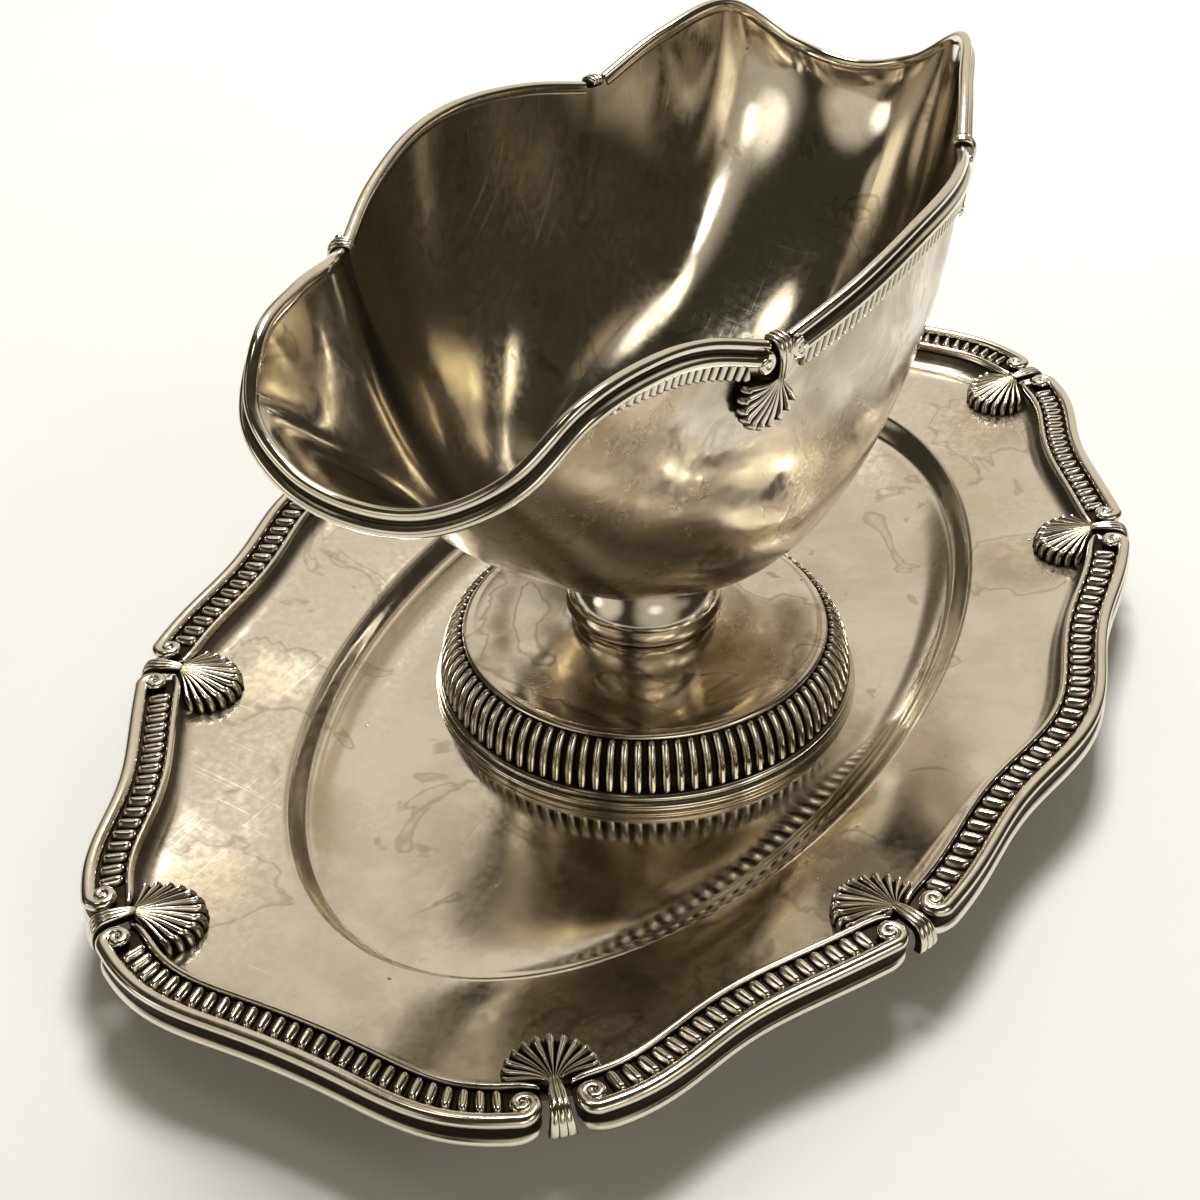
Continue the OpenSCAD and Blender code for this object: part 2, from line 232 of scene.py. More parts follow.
def silver(name, tarnish, roughness, patina_and_shade, scratch):
    """Old polished silver: haze, brown stains, pits and fine scratches, with dark patina in its recesses; the
    same dark colour also serves as painted shade where the recess value is set for shade.
    """
    material = bpy.data.materials.new(name)
    material.use_nodes = True
    n = Nodes(material.node_tree)
    where = n.add("ShaderNodeTexCoord").outputs["Object"]
    recess = n.add("ShaderNodeAttribute", attribute_name="recess").outputs["Fac"]
    marked = n.add("ShaderNodeAttribute", attribute_name="stain").outputs["Fac"]

    broad = n.noise(where, 22.0, 5.0, 0.6, 0.6)
    cloud = n.noise(where, 75.0, 6.0, 0.62, 0.3)
    grain = n.noise(where, 620.0, 3.0, 0.6)
    spot = n.noise(where, 48.0, 3.0, 0.5, 1.2)

    clouded = n.math("ADD", broad, n.math("MULTIPLY", cloud, 0.6))
    haze = n.math("MULTIPLY", n.step(clouded, 0.68, 1.0), tarnish)
    patchy = n.math("ADD", spot, n.math("MULTIPLY", grain, 0.04))
    patchy = n.math("ADD", patchy, n.math("MULTIPLY", marked, 0.42))
    stain = n.math("MULTIPLY", n.step(patchy, 0.62, 0.94), n.math("MAXIMUM", marked, tarnish))
    # A stain that dried leaves a darker line round its edge.
    ring = n.math("MULTIPLY", n.step(patchy, 0.64, 0.67), n.step(patchy, 0.71, 0.67))
    haze = n.math("MAXIMUM", haze, n.math("MULTIPLY", marked, n.step(cloud, 0.35, 0.6)))
    colour = n.blend(haze, CLEAN, HAZE)
    colour = n.blend(n.math("MULTIPLY", stain, 0.8), colour, STAIN)
    colour = n.blend(n.math("MULTIPLY", ring, 0.5 * tarnish), colour, STAIN)
    fleck = n.math("MULTIPLY", n.step(n.noise(where, 900.0, 2.0), 0.66, 0.74), n.step(cloud, 0.46, 0.6))
    colour = n.blend(n.math("MULTIPLY", fleck, 0.3 * tarnish), colour, STAIN)

    pits = n.add("ShaderNodeTexVoronoi", {"Vector": where, "Scale": 150.0}, feature="F1")
    dots = n.step(pits.outputs["Distance"], 0.03, 0.06, 1.0, 0.0)
    chosen = n.step(n.add("ShaderNodeSeparateColor", {0: pits.outputs["Color"]}).outputs[0], 0.86, 0.88)
    pit = n.math("MULTIPLY", dots, chosen)
    colour = n.blend(n.math("MULTIPLY", pit, 0.75), colour, PIT)

    # Dark recess colour: real patina in grooves, and painted shade where the recess value stands for shade,
    # as on the border's cove and underside, the plate beside the border and the skirts under the shells.
    patina_and_shade_fill = n.math("ADD", recess, n.math("MULTIPLY", cloud, 0.25))
    dark = n.math("MULTIPLY", n.step(patina_and_shade_fill, 0.38, 1.0), patina_and_shade, True)
    colour = n.blend(dark, colour, PATINA_AND_SHADE)

    # Fine scratches: noise drawn out along two slanting directions.
    lines = []
    for turn, stretch in ((0.5, (60, 2600, 60)), (-0.7, (2300, 50, 50)), (1.3, (40, 3100, 40))):
        mapped = n.add("ShaderNodeMapping", {"Vector": where, "Rotation": (0.3, 0.2, turn), "Scale": stretch})
        lines.append(n.step(n.noise(mapped.outputs[0], 1.0, 2.0, 0.5, 0.4), 0.64, 0.74))
    scratches = n.math("ADD", n.math("ADD", lines[0], lines[1]), lines[2], True)
    scratches = n.math("MULTIPLY", scratches, n.step(broad, 0.42, 0.62))

    rough = n.math("ADD", roughness, n.math("MULTIPLY", haze, 0.10))
    rough = n.math("ADD", rough, n.math("MULTIPLY", stain, 0.14))
    rough = n.math("ADD", rough, n.math("MULTIPLY", dark, 0.32))
    rough = n.math("ADD", rough, n.math("MULTIPLY", scratches, 0.07 * scratch))
    rough = n.math("ADD", rough, n.step(grain, 0.3, 0.7, -0.02, 0.03), True)

    height = n.math("MULTIPLY", n.noise(where, 34.0, 3.0, 0.5), 0.30)
    height = n.math("ADD", height, n.math("MULTIPLY", cloud, 0.025))
    height = n.math("SUBTRACT", height, n.math("MULTIPLY", scratches, 0.0015 * scratch))
    height = n.math("SUBTRACT", height, n.math("MULTIPLY", pit, 0.05))
    height = n.math("ADD", height, n.math("MULTIPLY", grain, 0.004))
    relief = n.add("ShaderNodeBump", {"Height": height, "Strength": 0.55, "Distance": 0.001})

    shader = n.add(
        "ShaderNodeBsdfPrincipled",
        {"Base Color": colour, "Metallic": 1.0, "Roughness": rough, "Normal": relief.outputs[0]},
    )
    n.add("ShaderNodeOutputMaterial", {"Surface": shader.outputs[0]})
    return material


MATERIALS = {
    "plate": silver("silver_plate", 0.75, 0.10, 0.85, 1.0),
    "bowl": silver("silver_bowl", 0.80, 0.08, 0.85, 1.3),
    "foot": silver("silver_foot", 1.0, 0.09, 0.90, 0.5),
    "rim": silver("silver_rim", 0.35, 0.10, 0.95, 0.3),
    "chased": silver("silver_chased", 0.45, 0.13, 1.0, 0.2),
}

BODIES = {node: body for body, nodes in frame["record"]["behaviour"]["bodies"].items() for node in nodes}


def place_piece(skin, node, material):
    """Makes the detailed piece that stands for a CAD node."""
    obj = skin.build(node + "_fine")
    obj.data.materials.append(MATERIALS[material])
    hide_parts(node)
    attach(obj, BODIES[node])
    return obj


# ---- Stand outline -------------------------------------------------------

END_SHELL = (120.5, 42.0)
SIDE_SHELL = (63.0, 77.0)
CORNERS = np.array(
    [
        (END_SHELL[0], -END_SHELL[1]),
        END_SHELL,
        SIDE_SHELL,
        (-SIDE_SHELL[0], SIDE_SHELL[1]),
        (-END_SHELL[0], END_SHELL[1]),
        (-END_SHELL[0], -END_SHELL[1]),
        (-SIDE_SHELL[0], -SIDE_SHELL[1]),
        (SIDE_SHELL[0], -SIDE_SHELL[1]),
    ]
)
END_WAVE = [9.2, 0, 2.3, 0, 0.3]
SIDE_WAVE = [7.8, 0, -1.1, 0, 1]
DIAGONAL_WAVE = [0.2, 1.2, 0.9, 0.2, 0]
DIAGONAL_BACK = [w * (-1) ** k for k, w in enumerate(DIAGONAL_WAVE)]
WAVES = [END_WAVE, DIAGONAL_WAVE, SIDE_WAVE, DIAGONAL_BACK] * 2
FLUTES = [28, 18, 33, 18] * 2
BORDER_NAMES = ["front", "front_left", "left", "back_left", "back", "back_right", "right", "front_right"]
SHELL_NAMES = [
    "front_right", "front_left", "left_front", "left_back",
    "back_left", "back_right", "right_back", "right_front",
]

CROWN_Z = corner_mm("border_front", 1)[2]
BEAD_Z = corner_mm("border_front", 0)[2]
WELL = (103.0, 59.0)
WELL_FLOOR = (70.0, 45.5)
WELL_LINE_Z = 9.0
WELL_STEP = (4.2, 4.2)
FLANGE_Z = 12.2
SHEET = 1.2


def line_point(i, s):
    a, b = CORNERS[i], CORNERS[(i + 1) % 8]
    along = unit(b - a)
    out = np.array([along[1], -along[0]])
    wave = sum(w * np.sin(math.pi * (k + 1) * s) for k, w in enumerate(WAVES[i]))
    return a + (b - a) * s[:, None] + out * wave[:, None]


class BorderLine:
    """The gadroon line of one border length, read by the distance run along it."""

    def __init__(self, i):
        s = np.linspace(0, 1, 1500)
        self.points = line_point(i, s)
        along = unit(np.gradient(self.points, axis=0))
        self.out = np.stack([along[:, 1], -along[:, 0]], axis=-1)
        step = np.linalg.norm(np.diff(self.points, axis=0), axis=1)
        self.run = np.concatenate([[0], np.cumsum(step)])
        self.length = self.run[-1]

    def at(self, run, out, z):
        """World points at run along the line, out from it, at height z."""
        run, out, z = np.broadcast_arrays(run, out, z)
        inside = np.clip(run, 0, self.length)
        p = np.stack([np.interp(inside, self.run, self.points[:, k]) for k in (0, 1)], axis=-1)
        o = np.stack([np.interp(inside, self.run, self.out[:, k]) for k in (0, 1)], axis=-1)
        o = unit(o)
        along = np.stack([-o[..., 1], o[..., 0]], axis=-1)
        p = p + o * out[..., None] + along * (run - inside)[..., None]
        return np.concatenate([p, z[..., None]], axis=-1)


LINES = [BorderLine(i) for i in range(8)]

# ---- Stand plate ---------------------------------------------------------

AROUND = 84
FOOT_X = (corner_mm("foot_ring", 0)[0] + corner_mm("foot_ring", 1)[0]) / 2
FOOT_Z = corner_mm("foot_ring", 0)[2]


def offset_outline(out, soften):
    """The closed outline moved outwards by out, its corners softened over a few points."""
    share = (np.arange(AROUND) + 0.5) / AROUND
    ring = np.concatenate([line.at(share * line.length, out, 0.0)[:, :2] for line in LINES])
    if soften > 0:
        reach = int(3 * soften) + 1
        kernel = np.exp(-0.5 * (np.arange(-reach, reach + 1) / soften) ** 2)
        kernel /= kernel.sum()
        padded = np.concatenate([ring[-reach:], ring, ring[:reach]])
        ring = np.stack([np.convolve(padded[:, k], kernel, "valid") for k in (0, 1)], axis=-1)
    return ring


def hand_wobble(p, size):
    """Gentle unevenness of hand-worked sheet."""
    x, y = p[..., 0], p[..., 1]
    wave = (
        np.sin(0.052 * x + 0.021 * y + 0.4)
        + 0.8 * np.sin(-0.031 * x + 0.067 * y + 2.1)
        + 0.5 * np.sin(0.13 * x + 0.07 * y + 1.0)
        + 0.4 * np.sin(-0.09 * x + 0.16 * y + 4.0)
        + 0.25 * np.sin(0.23 * x - 0.19 * y + 0.7)
    )
    return size * wave


def plate_profile():
    """Rings of the plate's upper face, from under the border in to the middle."""
    rings = []
    for out, z in ((-1.8, 15.4), (-2.8, 15.2), (-3.4, 14.7), (-3.9, 14.0), (-4.4, 13.35), (-5.0, 12.85),
                   (-5.7, 12.5), (-6.5, FLANGE_Z)):
        ring = offset_outline(out, 0.9 * (-out))
        rings.append(np.column_stack([ring, np.full(len(ring), z)]))
    flange = rings[-1][:, :2]
    angle = np.arctan2(flange[:, 1] / WELL[1], flange[:, 0] / WELL[0])

    def oval(half_length, half_width, z):
        x, y = half_length * np.cos(angle), half_width * np.sin(angle)
        return np.column_stack([x, y, np.full(len(angle), z)])

    line = oval(*WELL, WELL_LINE_Z)
    for t in np.linspace(0, 1, 24)[1:]:
        z = mix(FLANGE_Z, WELL_LINE_Z, t) + 0.35 * math.sin(math.pi * t) * t
        rings.append(np.column_stack([mix(flange, line[:, :2], t), np.full(len(line), z)]))
    wide, drop = WELL_STEP
    for t in np.linspace(0, 1, 12)[1:]:
        sunk = WELL_LINE_Z - drop * smooth(0.12 + 0.88 * t)
        rings.append(oval(WELL[0] - wide * t, WELL[1] - wide * t, sunk))
    shelf = WELL_LINE_Z - drop
    for t in np.linspace(0, 1, 20)[1:]:
        size = (mix(edge - wide, inner, t) for edge, inner in zip(WELL, WELL_FLOOR))
        rings.append(oval(*size, mix(SHEET, shelf, (1 - t) ** 2.6)))
    for share in np.linspace(1, 0.06, 26)[1:]:
        rings.append(oval(WELL_FLOOR[0] * share, WELL_FLOOR[1] * share, SHEET))
    top = np.array(rings)
    far_from_foot = smooth((np.hypot(top[..., 0] - FOOT_X, top[..., 1]) - 46) / 16)
    off_border = smooth((np.arange(len(top)) - 5) / 8)[:, None]
    top[..., 2] += hand_wobble(top, 0.055) * far_from_foot * off_border
    return top


STAIN_IN, STAIN_REACH = 18.0, 17.0  # how far in from a corner its stain is centred, and the stain's radius


def stand_plate():
    top = plate_profile()
    under = top.copy()
    under[..., 2] = np.maximum(0.0, under[..., 2] - SHEET)
    depth = np.zeros(top.shape[:2])
    # Painted shade: the rings under the border and the flange's edge beside it take the dark recess colour,
    # fading out inwards.
    depth[:4] = 0.9
    depth[4:8] = np.array([0.7, 0.5, 0.32, 0.15])[:, None]
    # Stains gather round the shells.
    stain = np.zeros(top.shape[:2])
    for corner in CORNERS:
        centre = corner * (1 - STAIN_IN / np.linalg.norm(corner))
        away = np.hypot(top[..., 0] - centre[0], top[..., 1] - centre[1])
        stain = np.maximum(stain, 0.85 * smooth((STAIN_REACH - away) / 12.0))
    skin = Skin()
    skin.grid(
        np.concatenate([top[::-1], under]),
        np.concatenate([depth[::-1], depth]),
        wrap_cols=True,
        cap_rows=True,
        stain=np.concatenate([stain[::-1], stain]),
    )
    place_piece(skin, "stand_plate", "plate")


stand_plate()

# ---- Stand border --------------------------------------------------------

GAP = 2.6
VOLUTE = 2.35
END_PLAIN = 5.2
CROWN_OUT = 3.7
CROWN_R = 1.3
CROWN_FLAT = 0.8
SECTION_IN = [  # inside face and inner bead: out, height, recess; the low inside face, where it meets the plate, is painted shade
    (-3.0, 2.6, 0.9), (-3.45, 2.9, 0.9), (-3.7, 3.3, 0.35), (-3.78, 3.8, 0.05), (-3.7, 4.3, 0.0),
    (-3.45, 4.7, 0.0), (-3.1, 4.9, 0.0), (-2.75, 4.8, 0.15), (-2.5, 4.5, 0.7), (-2.35, 4.1, 1.0),
]
SECTION_OUT = [  # beyond the flutes: groove, hidden seat of the crown, cove, lower bead, underside; the cove is painted near black as a painted dark reflection, and the underside is painted shade
    (2.45, 3.8, 1.0), (2.9, 4.2, 1.0), (3.8, 4.4, 1.0), (4.6, 4.3, 0.95), (4.66, 3.7, 1.0), (4.6, 3.2, 1.0),
    (4.56, 2.7, 1.0), (4.6, 2.25, 0.95), (4.72, 1.95, 0.75), (4.95, 1.65, 0.2), (5.16, 1.25, 0.0),
    (5.24, 0.8, 0.0), (5.0, 0.3, 0.1), (4.7, 0.05, 0.4), (4.0, 0.0, 0.7), (3.0, 0.05, 0.8), (0.0, 1.3, 0.8),
]
FLUTE_HALF = 2.25
FLUTE_LOW = 3.75
FLUTE_RISE = 1.35
FLUTE_WIDE = 0.74
FLUTE_LEAN = 0.3
ACROSS = 15


def spiral(start_r, turns, tighten, count):
    """Points of a volute that starts straight above its eye: sideways, up, and how far it has run, 0 to 1."""
    angle = np.linspace(0, 2 * math.pi * turns, count)
    r = start_r * np.exp(-tighten * angle / (2 * math.pi))
    return np.stack([r * np.sin(angle), r * np.cos(angle)], axis=-1), angle / angle[-1]


def border(i):
    line = LINES[i]
    first, last = GAP, line.length - GAP
    count = FLUTES[i]
    start, stop = first + END_PLAIN, last - END_PLAIN
    pitch = (stop - start) / count
    ends = np.linspace(0, END_PLAIN, 15)[:-1]
    run = np.concatenate([first + ends, np.linspace(start, stop, count * 10 + 1), (last - ends)[::-1]])
    cell = (run - start) / pitch
    in_band = (cell >= 0) & (cell <= count)
    across = np.where(in_band, 2 * (cell - np.floor(cell)) - 1, 1.0)
    v = np.linspace(-1, 1, ACROSS)
    # Drops that are full at the inner end and narrow towards the crown, leaning a little.
    wide = FLUTE_WIDE * (1 - 0.22 * smooth((v + 0.2) / 1.2))[None, :]
    ridge = capsule(across[:, None] / wide, v[None, :], 0.42)
    flutes = np.stack(
        [
            np.broadcast_to(v * FLUTE_HALF, ridge.shape),
            FLUTE_LOW + FLUTE_RISE * ridge,
            between(ridge),
        ],
        axis=-1,
    )
    inner = np.broadcast_to(np.array(SECTION_IN), (len(run), len(SECTION_IN), 3))
    outer = np.broadcast_to(np.array(SECTION_OUT), (len(run), len(SECTION_OUT), 3))
    section = np.concatenate([inner, flutes, outer], axis=1).copy()
    from_end = np.minimum(run - first, last - run)
    round_off = np.sqrt(np.clip(1 - (1 - np.minimum(from_end / 5.0, 1)) ** 2, 0, 1))
    narrow = mix(0.42, 1.0, round_off)
    out = section[..., 0]
    section[..., 0] = np.where(out > 0, out * narrow[:, None], out * mix(0.7, 1.0, round_off)[:, None])
    sink = 0.5 * (1 - smooth(from_end / 3.0))
    slide = np.zeros(section.shape[:2])
    hollow = slice(len(SECTION_IN), len(SECTION_IN) + ACROSS)
    slide[:, hollow] = FLUTE_LEAN * v[None, :] * smooth(from_end / 6.0)[:, None]
    points = line.at(run[:, None] + slide, section[..., 0], BEAD_Z + section[..., 1] - sink[:, None] * 0.4)
    skin = Skin()
    skin.grid(points, section[..., 2], wrap_cols=True, cap_rows=True)

    # The crown is one rounded band whose two ends curl in beside the shells.
    curl, done = spiral(VOLUTE, 1.4, 1.12, 64)
    eye = CROWN_OUT - VOLUTE
    left_eye, right_eye = first + VOLUTE + 0.35, last - VOLUTE - 0.35
    left = np.column_stack([left_eye - curl[:, 0], eye + curl[:, 1]])[::-1]
    right = np.column_stack([right_eye + curl[:, 0], eye + curl[:, 1]])
    straight = np.linspace(left_eye, right_eye, 160)[1:-1]
    middle = np.column_stack([straight, np.full(len(straight), CROWN_OUT)])
    track = np.concatenate([left, middle, right])
    radius = np.concatenate(
        [mix(CROWN_R, 0.62, done**0.8)[::-1], np.full(len(straight), CROWN_R), mix(CROWN_R, 0.62, done**0.8)]
    )
    z = CROWN_Z - CROWN_FLAT * radius - 0.05
    path = line.at(track[:, 0], track[:, 1], z)
    flat = np.gradient(path, axis=0)
    side = unit(np.stack([flat[:, 1], -flat[:, 0], np.zeros(len(flat))], axis=-1))
    skin.tube(path, side, radius, CROWN_FLAT, 18)
    place_piece(skin, "border_" + BORDER_NAMES[i], "chased")


for i in range(8):
    border(i)

# ---- Shells --------------------------------------------------------------

STAND_RIBS, BOAT_RIBS = 12, 10
SPREAD = math.radians(68)


class Place:
    """A local frame: right, up and out directions at an origin."""

    def __init__(self, origin, right, up, out):
        self.origin, self.axes = np.array(origin), np.array([right, up, out])

    def __call__(self, local):
        return self.origin + local @ self.axes


def fan(skin, place, ribs, radius, apex, turn, rise, drop, skirt, bow):
    """A ribbed shell whose ribs run from an apex under the origin, opening along -Y but for its turn.

    It stands rise over the origin's plane at the apex and drop under it at its edge.
    """
    per = 12
    angle = np.linspace(-SPREAD, SPREAD, ribs * per + 1)
    off = np.abs(angle / SPREAD)[:, None]
    cell = (angle + SPREAD) / (2 * SPREAD) * ribs
    x = 2 * (cell - np.floor(np.minimum(cell, ribs - 1e-6))) - 1
    x = np.clip(x, -1, 1)[:, None]
    edge = radius * (1 - 0.32 * off**1.6) * (1 - 0.1 * np.abs(x) ** 2.4)
    t = np.linspace(0, 1, 44)[None, :]
    reach = 0.35 + t * (edge - 0.35)
    swing = angle[:, None] * mix(0.86, 1.0, smooth(t * 1.1)) - math.radians(turn)
    ridge = rounded(np.clip(x / 0.72, -1, 1) * np.ones_like(t), 0.6)
    tip = np.sqrt(np.clip(1 - np.clip((t - 0.9) / 0.1, 0, 1) ** 2, 0, 1))
    high = (0.16 + 0.85 * t**0.8) * radius / 12
    bead = 0.35 * bump(t, 0.92, 0.055)
    local = np.stack(
        [
            reach * np.sin(swing),
            -apex - reach * np.cos(swing),
            mix(rise, -drop * (1 - 0.3 * off**2), t**1.15)
            + bow * np.sin(math.pi * t)
            + (high + bead) * ridge * tip,
        ],
        axis=-1,
    )
    deep = between(ridge) * mix(0.45, 1.0, smooth(t * 3))
    foot = local[:, -1:].copy()
    foot[..., 2] -= skirt
    back = np.zeros_like(foot)
    back[..., 1], back[..., 2] = -apex, -skirt
    back[..., 0] = 0.02 * angle[:, None]
    section = np.concatenate([local, foot, back], axis=1)
    # The skirt under the shell's edge and the back get the full dark recess colour: painted shade under the
    # shell.
    depth = np.concatenate([deep, np.ones((len(angle), 2))], axis=1)
    skin.grid(place(section), depth, wrap_cols=True, cap_rows=True)


TONGUE_RIBS = 3


def tongue(skin, place, track, widths, rise=0.5, thick=1.1):
    """A ribbed nub that folds over along a track of (up, out) points."""
    track = np.array(track, dtype=float)
    count = 30
    share = np.linspace(0, 1, len(track))
    at = np.linspace(0, 1, count)
    path = np.stack([np.interp(at, share, track[:, k]) for k in (0, 1)], axis=-1)
    kernel = np.array([1, 2, 3, 2, 1]) / 9
    for _ in range(2):
        padded = np.concatenate([path[:1]] * 2 + [path] + [path[-1:]] * 2)
        path = np.stack([np.convolve(padded[:, k], kernel, "valid") for k in (0, 1)], axis=-1)
    along = unit(np.gradient(path, axis=0))
    normal = np.stack([-along[:, 1], along[:, 0]], axis=-1)
    x = np.linspace(-1, 1, TONGUE_RIBS * 10 + 1)
    cell = (x + 1) / 2 * TONGUE_RIBS
    ridge = rounded(np.clip(2 * (cell - np.floor(np.minimum(cell, TONGUE_RIBS - 1e-6))) - 1, -1, 1) * 0.98)
    crown = 0.45 * rounded(x * 0.97) + rise * ridge
    wide = np.interp(at, np.linspace(0, 1, len(widths)), widths)
    fade = np.sqrt(np.clip(1 - np.clip((at - 0.9) / 0.1, 0, 1) ** 2, 0.05, 1))
    lift = crown[None, :] * fade[:, None]
    top = np.stack(
        [
            x[None, :] * wide[:, None],
            path[:, None, 0] + normal[:, None, 0] * lift,
            path[:, None, 1] + normal[:, None, 1] * lift,
        ],
        axis=-1,
    )
    low = np.stack(
        [
            np.array([1.0, -1.0])[None, :] * wide[:, None],
            np.repeat((path[:, 0] - normal[:, 0] * thick)[:, None], 2, axis=1),
            np.repeat((path[:, 1] - normal[:, 1] * thick)[:, None], 2, axis=1),
        ],
        axis=-1,
    )
    deep = np.broadcast_to(np.clip(1.1 * (1 - ridge) ** 1.3, 0, 1), (count, len(x)))
    section = np.concatenate([top, low], axis=1)
    depth = np.concatenate([deep, np.ones((count, 2))], axis=1)
    skin.grid(place(section), depth, wrap_cols=True, cap_rows=True)


def stand_shell(i):
    before = LINES[(i + 7) % 8]
    after = LINES[i]
    reach = 9.0
    a = before.at(before.length - reach, 0.0, 0.0)
    b = after.at(reach, 0.0, 0.0)
    along = unit((b - a)[:2])
    right = np.array([-along[0], -along[1], 0])
    outward = np.array([along[1], -along[0], 0])
    origin = [CORNERS[i][0], CORNERS[i][1], CROWN_Z - 1.5]
    place = Place(origin, right, outward, UP)
    skin = Skin()
    fan(
        skin, place, STAND_RIBS, radius=12.4, apex=2.7, turn=0.0, rise=0.2, drop=3.7, skirt=2.3, bow=0.15
    )
    track = [
        (-3.6, 0.0), (-2.2, 0.55), (-0.6, 0.75), (0.8, 0.85), (2.2, 0.8), (3.4, 0.2), (4.1, -1.0),
        (4.35, -2.4), (4.3, -3.9),
    ]
    tongue(skin, place, track, [0.7, 1.1, 1.4, 1.5, 1.6, 1.8, 2.0, 2.2], rise=0.3)
    place_piece(skin, "stand_shell_" + SHELL_NAMES[i], "chased")


for i in range(8):
    stand_shell(i)

# ---- Rim of the boat -----------------------------------------------------

LIP = [(90, 0, 94.5), (89, 12, 96.5), (84, 22, 102), (73.5, 27, 108.5), (60, 30, 109), (46, 33.5, 106.5),
       (33, 40.3, 101.5)]
SIDE = [(33, 40.3, 101.5), (15, 46, 105), (-4, 49, 107.5), (-22, 49, 107), (-41, 45.5, 104), (-59, 40, 99)]
BACK = [(-59, 40, 99), (-78.5, 33.5, 105), (-97.5, 26.5, 106.5), (-105, 14, 97.5), (-106.5, 0, 94)]
LIP, SIDE, BACK = (np.array(points, dtype=float) for points in (LIP, SIDE, BACK))
FLIP = np.array([1.0, -1.0, 1.0])
ON_BOAT = np.array([FOOT_X, 0, FOOT_Z])


def smooth_curve(points, before, after, steps=20):
    every = np.vstack([before, points, after])
    t = (np.arange(steps) / steps)[:, None]
    out = []
    for a, b, c, d in zip(every, every[1:], every[2:], every[3:]):
        out.append(
            0.5 * (2 * b + (c - a) * t + (2 * a - 5 * b + 4 * c - d) * t**2 + (3 * b - a - 3 * c + d) * t**3)
        )
    return np.vstack(out + [points[-1:]])


LIP_LEFT = smooth_curve(LIP, LIP[1] * FLIP, 2 * LIP[-1] - LIP[-2])
SIDE_LEFT = smooth_curve(SIDE, 2 * SIDE[0] - SIDE[1], 2 * SIDE[-1] - SIDE[-2])
BACK_LEFT = smooth_curve(BACK, 2 * BACK[0] - BACK[1], BACK[3] * FLIP)
LIP_LINE = np.vstack([(LIP_LEFT * FLIP)[::-1], LIP_LEFT[1:]])
BACK_LINE = np.vstack([BACK_LEFT, (BACK_LEFT * FLIP)[-2::-1]])
SIDE_RIGHT = (SIDE_LEFT * FLIP)[::-1]
LEFT_HALF = np.vstack([LIP_LEFT[:-1], SIDE_LEFT[:-1], BACK_LEFT])
RIM = np.vstack([LEFT_HALF, (LEFT_HALF * FLIP)[-2:0:-1]])

# ---- Bowl ----------------------------------------------------------------

RIM_HALF = (98.0, 49.0)
RIM_MIDDLE = -8.0
LIP_WALL = np.array([0.71, 0.18, 0.36, 0.18])
SIDE_WALL = np.array([1, 0.37, 0.8, 0])
BACK_WALL = np.array([1, 0.35, 0.6, 0.05])
BASE_R, BASE_Z, WALL = 18.0, 34.0, 1.2


def wall_curve(rim, t, base_r=BASE_R, base_z=BASE_Z):
    """Points of the wall under each rim point; t runs from 0 at the rim to 1 at the base."""
    angle = np.arctan2(rim[:, 1] / RIM_HALF[1], (rim[:, 0] - RIM_MIDDLE) / RIM_HALF[0])
    c = np.cos(angle)
    lip, back = np.where(c > 0, c * c, 0), np.where(c < 0, c * c, 0)
    k = LIP_WALL * lip[:, None] + BACK_WALL * back[:, None] + SIDE_WALL * (1 - lip - back)[:, None]
    base = np.stack([base_r * c, base_r * np.sin(angle), np.full_like(c, base_z)], axis=-1)
    span = rim - base
    upper = base + span * k[:, :1]
    upper[:, 2] = rim[:, 2] - span[:, 2] * k[:, 1]
    lower = base + span * k[:, 2:3]
    lower[:, 2] = base[:, 2] + span[:, 2] * k[:, 3]
    t = np.asarray(t)[None, :, None]
    u = 1 - t
    return (
        u**3 * rim[:, None]
        + 3 * u * u * t * upper[:, None]
        + 3 * u * t * t * lower[:, None]
        + t**3 * base[:, None]
    )


def inward(rim):
    d = unit(np.stack([rim[:, 0] - RIM_MIDDLE, rim[:, 1]], axis=-1)) * WALL
    return rim - np.column_stack([d, np.zeros(len(rim))])


def ease_round(wall, t):
    """Smooths the wall round the bowl, more the further it lies below the rim."""
    count = len(wall)
    turns = np.fft.fftfreq(count) * 2 * math.pi
    spread = 15.0 * smooth(t / 0.5)[None, :, None]
    soft = np.exp(-0.5 * (turns[:, None, None] * spread) ** 2)
    eased = np.fft.ifft(np.fft.fft(wall, axis=0) * soft, axis=0).real
    # The corners of the back stay sharper most of the way down.
    keep = 0.6 * bump(wall[:, :1, 0], BACK[2][0] + 3, 16.0)[..., None] * (1 - smooth(t / 0.9))[None, :, None]
    return mix(eased, wall, keep)


def bowl():
    t = np.linspace(0, 1, 70) ** 1.15
    outer = ease_round(wall_curve(RIM, t), t)
    inner = ease_round(wall_curve(inward(RIM), t, BASE_R - WALL, BASE_Z + WALL), t)
    rings = np.concatenate([inner[:, ::-1], outer], axis=1) + ON_BOAT
    # Only the outside is stained, most under the rim; the stain is real tarnish and is also set higher to
    # darken the outside, as a painted darker reflection.
    stain = np.concatenate([np.full(len(t), 0.0), mix(0.78, 0.66, t)])[:, None]
    skin = Skin()
    skin.grid(np.swapaxes(rings, 0, 1), wrap_cols=True, cap_rows=True, stain=stain)
    place_piece(skin, "bowl", "bowl")


bowl()

# ---- Rim mouldings and gadroon strips ------------------------------------

